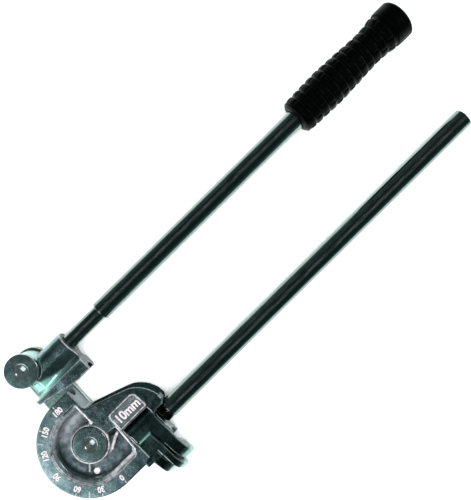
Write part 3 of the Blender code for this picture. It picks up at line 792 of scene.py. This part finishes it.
pin("centre_pin_body", 0, 0, 21.6, 24.7, "centre_pin")
pin("outer_pin_body", *OUTER, 25.0, 28.4, "outer_pin")
for name, x, y, r, z0, z1, bore, mat, body, slot in (
        ("centre_head_washer", 0, 0, 11.2, 20.7, 21.3, 6.3, STEEL, "yoke", "pin_steel"),
        ("centre_thrust_washer", 0, 0, 11.0, 5.3, 6.3, 6.3, BRONZE, "yoke", "bronze_bush"),
        ("pivot_bush", 0, 0, 8.0, 6.8, 20.3, 6.3, BRONZE, "former", "bronze_bush"),
        ("outer_head_washer", *OUTER, 11.0, 23.9, 24.7, 6.3, STEEL, "yoke", "pin_steel"),
        ("outer_thrust_washer", *OUTER, 10.6, 5.3, 7.3, 6.3, BRONZE, "yoke", "bronze_bush"),
        ("shoe_eye_bush", *OUTER, 8.0, 7.8, 23.4, 6.3, BRONZE, "shoe", "bronze_bush")):
    ring = turned(name + "_ring", bar(r, z0, z1, 0.2, bore), (x, y, 0), (0, 0, 1), 80)
    finish(ring, mat, body, slot, name)


def link_shape(x, y, z):
    """Flat bar with round ends and two pin holes."""
    ax, ay = OUTER
    t = np.clip((x * ax + y * ay) / (ax * ax + ay * ay), 0, 1)
    plan = np.hypot(x - t * ax, y - t * ay) - (13.0 - 0.64 * t)
    d = smax(plan, np.abs(z - LINK_Z) - LINK_HALF, 0.8)
    hole = np.minimum(np.hypot(x, y), np.hypot(x - ax, y - ay)) - 5.3
    return smax(d, -hole, 0.3)


link_bar = skin("rear_link_body", link_shape, (-14.4, -14.4, -1.2), (18.0, 81.4, 6.2), 0.42)
finish(link_bar, STEEL, "yoke", "link_steel", "rear_link")

# ------------------------------------------------------------------ handles
ALONG = (1, 0, 0)


def dulled(obj, y, z):
    """Two painted reflection stripes along the upper side of a tube."""
    side = np.array([v.co.y for v in obj.data.vertices]) / MM - y
    up = np.array([v.co.z for v in obj.data.vertices]) / MM > z
    crown = 0.62 * np.clip(1.6 - np.abs(side) / 0.9, 0, 1)
    flank = 0.36 * np.clip(1.6 - np.abs(side - 3.4), 0, 1)
    store(obj.data, "reflection_stripe", np.maximum(crown, flank) * up)
    return obj


fixed = turned("fixed_tube_body", bar(TUBE_R, 52.3, 335.0, 0.5, 5.5), (0, FIX_Y, FIX_Z), ALONG,
               128)
finish(dulled(fixed, FIX_Y, FIX_Z), CHROME, "former", "chrome_tube", "fixed_handle_tube")
stud = turned("fixed_stud_body", bar(STUD_R, 32.0, 70.0, 0.6), (0, FIX_Y, FIX_Z), ALONG, 64)
finish(stud, DARK, "former", "dark_steel", "fixed_handle_stud")
plug = turned("fixed_plug_body", bar(5.2, 52.6, 71.0, 0.3, 4.3), (0, FIX_Y, FIX_Z), ALONG, 64)
finish(plug, DARK, "former", "dark_steel", "fixed_handle_plug")
end = turned("end_plug_body", bar(5.2, 322.0, 333.2, 0.8), (0, FIX_Y, FIX_Z), ALONG, 64)
finish(end, PLASTIC, "former", "plug_plastic", "handle_end_plug")


def nut_shape(x, y, z):
    """Six-sided nut with chamfered corners, along X."""
    u, w = y - FIX_Y, z - FIX_Z
    hexa = np.maximum(np.abs(u), np.abs(0.5 * u + 0.866 * w))
    hexa = np.maximum(hexa, np.abs(0.5 * u - 0.866 * w)) - 5.95
    d = smax(hexa, np.abs(x - NUT_X) - 2.6, 0.3)
    cone = (np.hypot(u, w) - 6.7 + 0.55 * (np.abs(x - NUT_X) - 1.9)) * 0.87
    d = smax(d, cone, 0.3)
    return np.maximum(d, STUD_R + GAP - np.hypot(u, w))


nut = skin("lock_nut_body", nut_shape, (45.4, -29.0, 6.0), (52.8, -12.2, 22.8), 0.28)
finish(nut, DARK, "former", "dark_steel", "fixed_handle_lock_nut")
rod = turned("rod_body", bar(ROD_R, 14.7, 112.0, 0.6), (0, MOVE_Y, TUBE_Z), ALONG, 128)
finish(dulled(rod, MOVE_Y, TUBE_Z), CHROME, "shoe", "chrome_tube", "moving_handle_rod")
sleeve = turned("sleeve_body", bar(TUBE_R, 65.6, 346.0, 0.5, 5.8), (0, MOVE_Y, TUBE_Z), ALONG,
                128)
finish(dulled(sleeve, MOVE_Y, TUBE_Z), CHROME, "shoe", "chrome_tube", "moving_handle_sleeve")
hinge = turned("hinge_pin_body", bar(HINGE_R, 20.9, 53.1, 0.3), (0, HINGE_Y, HINGE_Z), ALONG, 48)
finish(hinge, STEEL, "former", "pin_steel", "hook_hinge_pin")
cross = turned("socket_pin_body", bar(1.5, 50.6, 67.4, 0.3), (25.0, 0, TUBE_Z), (0, 1, 0), 40)
finish(cross, DARK, "shoe", "dark_steel", "socket_roll_pin")


# ------------------------------------------------------------------ rubber grip
GRIP = ((252.4, 12.6), (262, 13.2), (283, 13.7), (300, 13.0), (312, 12.2), (320, 11.9),
        (328, 12.3), (336, 13.6), (342, 14.0), (351, 14.0))
RIB_0, RIB_PITCH, RIB_N, RIB_DEPTH, PADS = 255.0, 6.25, 13, 1.25, 10
RIB_END = RIB_0 + RIB_PITCH * RIB_N
GRIP_X, FLARE_X = (252.4, 351.0), 338.0


def grip_envelope(x):
    knots = np.array(GRIP)
    i = int(np.clip(np.searchsorted(knots[:, 0], x) - 1, 0, len(knots) - 2))
    (x0, r0), (x1, r1) = knots[i], knots[i + 1]
    t = np.clip((x - x0) / (x1 - x0), 0, 1)
    return r0 + (r1 - r0) * t * t * (3 - 2 * t)


def grip_mesh():
    """Ribbed sleeve: rings along the handle, each rib broken into staggered pads."""
    around = 240
    first, last = GRIP_X[0] + 0.8, GRIP_X[1] - 0.6
    xs = np.arange(first, last, 0.25)
    angles = np.linspace(0, 2 * np.pi, around, endpoint=False)
    radius = np.empty((len(xs), around))
    for i, x in enumerate(xs):
        base = grip_envelope(x)
        rib, phase = divmod((x - RIB_0) / RIB_PITCH, 1.0)
        across = abs(phase - 0.44) / 0.40
        height = np.zeros(around)
        if 0 <= rib < RIB_N and across < 1:
            crown = (1 - across ** 4) ** 0.5
            pads = np.cos(angles * PADS + (math.pi if rib % 2 else 0))
            notch = np.clip((pads + 0.86) / 0.35, 0, 1) ** 0.5
            height = crown * (0.5 + 0.5 * notch)
        if x < RIB_0 - 0.3:
            height = np.full(around, 0.8)
        elif x > RIB_END + 0.8:
            height = np.full(around, 1.0 if x > FLARE_X else 0.0)
        radius[i] = base - RIB_DEPTH + RIB_DEPTH * height
    for inset, rolled in ((xs - first, 1.0), (last - xs, 1.6)):
        ends = np.clip(inset / rolled, 0, 1)
        radius -= ((1 - np.sqrt(1 - (1 - ends) ** 2)) * rolled)[:, None]
    verts, faces = [], []

    def ring(x, r):
        verts.extend((x, MOVE_Y + q * math.cos(a), TUBE_Z + q * math.sin(a))
                     for a, q in zip(angles, np.broadcast_to(r, (around,))))

    inner, inner_end = TUBE_R + GAP, 347.6
    ring(inner_end, inner)
    ring(GRIP_X[0] + 0.2, inner)
    ring(GRIP_X[0], inner + 0.3)
    ring(GRIP_X[0], float(radius[0].min()) - 0.8)
    for x, r in zip(xs, radius):
        ring(x, r)
    ring(GRIP_X[1], float(radius[-1].min()) - 1.0)
    rows = len(verts) // around
    for i in range(rows - 1):
        for j in range(around):
            k = (j + 1) % around
            faces.append((i * around + j, i * around + k, (i + 1) * around + k,
                          (i + 1) * around + j))
    for row, x, flip in ((0, inner_end, False), (rows - 1, GRIP_X[1], True)):
        verts.append((x, MOVE_Y, TUBE_Z))
        c = len(verts) - 1
        for j in range(around):
            a, b = row * around + j, row * around + (j + 1) % around
            faces.append((a, b, c) if flip else (b, a, c))
    mesh = bpy.data.meshes.new("grip_body")
    mesh.from_pydata([tuple(MM * c for c in v) for v in verts], [], faces)
    bm = bmesh.new()
    bm.from_mesh(mesh)
    bmesh.ops.recalc_face_normals(bm, faces=bm.faces)
    bm.to_mesh(mesh)
    bm.free()
    mesh.shade_smooth()
    mesh.set_sharp_from_angle(angle=math.radians(50))
    return link("grip_body", mesh)


finish(grip_mesh(), RUBBER, "shoe", "grip_rubber", "rubber_grip")

# ------------------------------------------------------------------ floor, light, camera
bm = bmesh.new()
bmesh.ops.create_grid(bm, x_segments=1, y_segments=1, size=3.0)
bmesh.ops.translate(bm, verts=bm.verts, vec=(0, 0, -0.1 * MM))
mesh = bpy.data.meshes.new("floor")
bm.to_mesh(mesh)
bm.free()
floor = link("floor", mesh)
m = Nodes("floor_white")
tone = m.ramp(m.noise(60.0, 3.0, 0.5), [(0.3, (0.93, 0.94, 0.94)), (0.7, (0.96, 0.97, 0.97))])
floor.data.materials.append(m.wire(Base_Color=tone, Roughness=0.9))

scene = bpy.context.scene
world = bpy.data.worlds.new("studio")
world.use_nodes = True
scene.world = world
tree = world.node_tree
back = tree.nodes["Background"]
tex = tree.nodes.new("ShaderNodeTexCoord")
split = tree.nodes.new("ShaderNodeSeparateXYZ")
ramp = tree.nodes.new("ShaderNodeValToRGB")
tree.links.new(tex.outputs["Generated"], split.inputs[0])
tree.links.new(split.outputs["Z"], ramp.inputs[0])
tree.links.new(ramp.outputs[0], back.inputs[0])
stops = ((0.0, (0.20, 0.30, 0.27)), (0.12, (0.14, 0.22, 0.20)), (0.36, (0.030, 0.062, 0.060)),
         (0.60, (0.019, 0.042, 0.042)), (1.0, (0.017, 0.036, 0.037)))
elements = ramp.color_ramp.elements
while len(elements) < len(stops):
    elements.new(0.5)
for element, (pos, rgb) in zip(elements, stops):
    element.position = pos
    element.color = (*rgb, 1.0)
back.inputs[1].default_value = 1.0


def lamp(name, at, size, power, rgb=(1, 1, 1), glossy=True):
    data = bpy.data.lights.new(name, "AREA")
    data.shape = "RECTANGLE"
    data.size, data.size_y = size
    data.energy = power
    data.color = rgb
    obj = link(name, data)
    obj.location = at
    aim = Vector((0.12, 0.02, 0.0)) - Vector(at)
    obj.rotation_euler = aim.to_track_quat("-Z", "Y").to_euler()
    obj.visible_glossy = glossy
    return obj


lamp("fill_overhead", (0.16, 0.02, 0.80), (0.8, 0.8), 14.5, glossy=False)
lamp("softbox_right", (1.30, -0.30, 0.70), (0.5, 0.5), 6.0, (0.92, 0.98, 1.0))
lamp("softbox_left", (-1.25, -0.05, 1.15), (1.1, 1.45), 14.0, (0.92, 0.98, 1.0))

RIGHT = Vector((0.712, -0.702, 0.0)).normalized()
UP = Vector((0.702, 0.712, 0.0)).normalized()
DISTANCE, VIEW_HEIGHT = 400.0, 333.5
camera_data = bpy.data.cameras.new("camera")
camera = link("camera", camera_data)
turn = Matrix((RIGHT, UP, RIGHT.cross(UP))).transposed().to_4x4()
camera.matrix_world = Matrix.Translation(Vector((160.5, 24.3, FACE_Z + DISTANCE)) * MM) @ turn
camera_data.sensor_fit = "VERTICAL"
camera_data.angle_y = 2 * math.atan(VIEW_HEIGHT / 2 / DISTANCE)
camera_data.clip_start = 0.01
scene.camera = camera
scene.view_settings.view_transform = "Standard"
